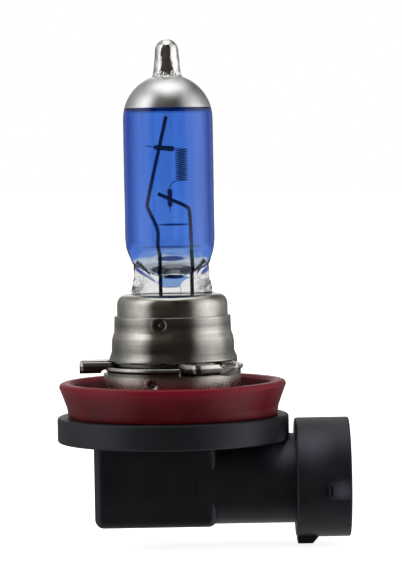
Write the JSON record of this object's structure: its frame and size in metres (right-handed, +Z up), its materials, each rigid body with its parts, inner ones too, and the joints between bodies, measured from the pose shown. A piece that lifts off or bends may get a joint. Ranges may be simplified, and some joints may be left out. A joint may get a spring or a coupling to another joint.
{
  "type": "headlight bulb",
  "caption": "Halogen headlight capsule with a mirror-tipped blue glass tube, a three-tab bayonet cap, a red lip seal and a right-angle sealed connector.",
  "frame": {"origin": "on the bulb's axis, in the plane of the three locking tabs' lower faces, where the bulb seats in a lamp", "axes": "+Z up the bulb's axis towards its tip, +X along the connector towards its mouth, +Y across the base"},
  "size_m": [0.039, 0.031, 0.0676],
  "materials": {
    "blue_glass": "blue-coated clear quartz glass",
    "silver_coat": "mirror coat",
    "tungsten": "drawn wire",
    "molybdenum": "drawn wire and foil",
    "nickel_steel": "satin nickel plate",
    "glass_fibre": "braided glass fibre",
    "red_silicone": "satin silicone",
    "black_plastic": "moulded, satin",
    "tinned_brass": "tin plated"
  },
  "bodies": {
    "root": {"glass_envelope": "blue_glass", "silver_top_coat": "silver_coat", "filament": "tungsten", "upper_leg_sleeve": "molybdenum", "lower_leg_sleeve": "molybdenum", "long_support_wire": "molybdenum", "short_support_wire": "molybdenum", "pinch_foil_a": "molybdenum", "pinch_foil_b": "molybdenum", "outer_lead_a": "molybdenum", "outer_lead_b": "molybdenum", "lead_insulator": "glass_fibre", "pinch_clip": "nickel_steel", "burner_cup": "nickel_steel", "adjusting_sleeve": "nickel_steel", "bayonet_ring": "nickel_steel", "cap_collar": "nickel_steel", "sealing_ring": "red_silicone", "base_housing": "black_plastic", "base_cover": "black_plastic", "terminal_a": "tinned_brass", "terminal_b": "tinned_brass"}
  },
  "joints": []
}
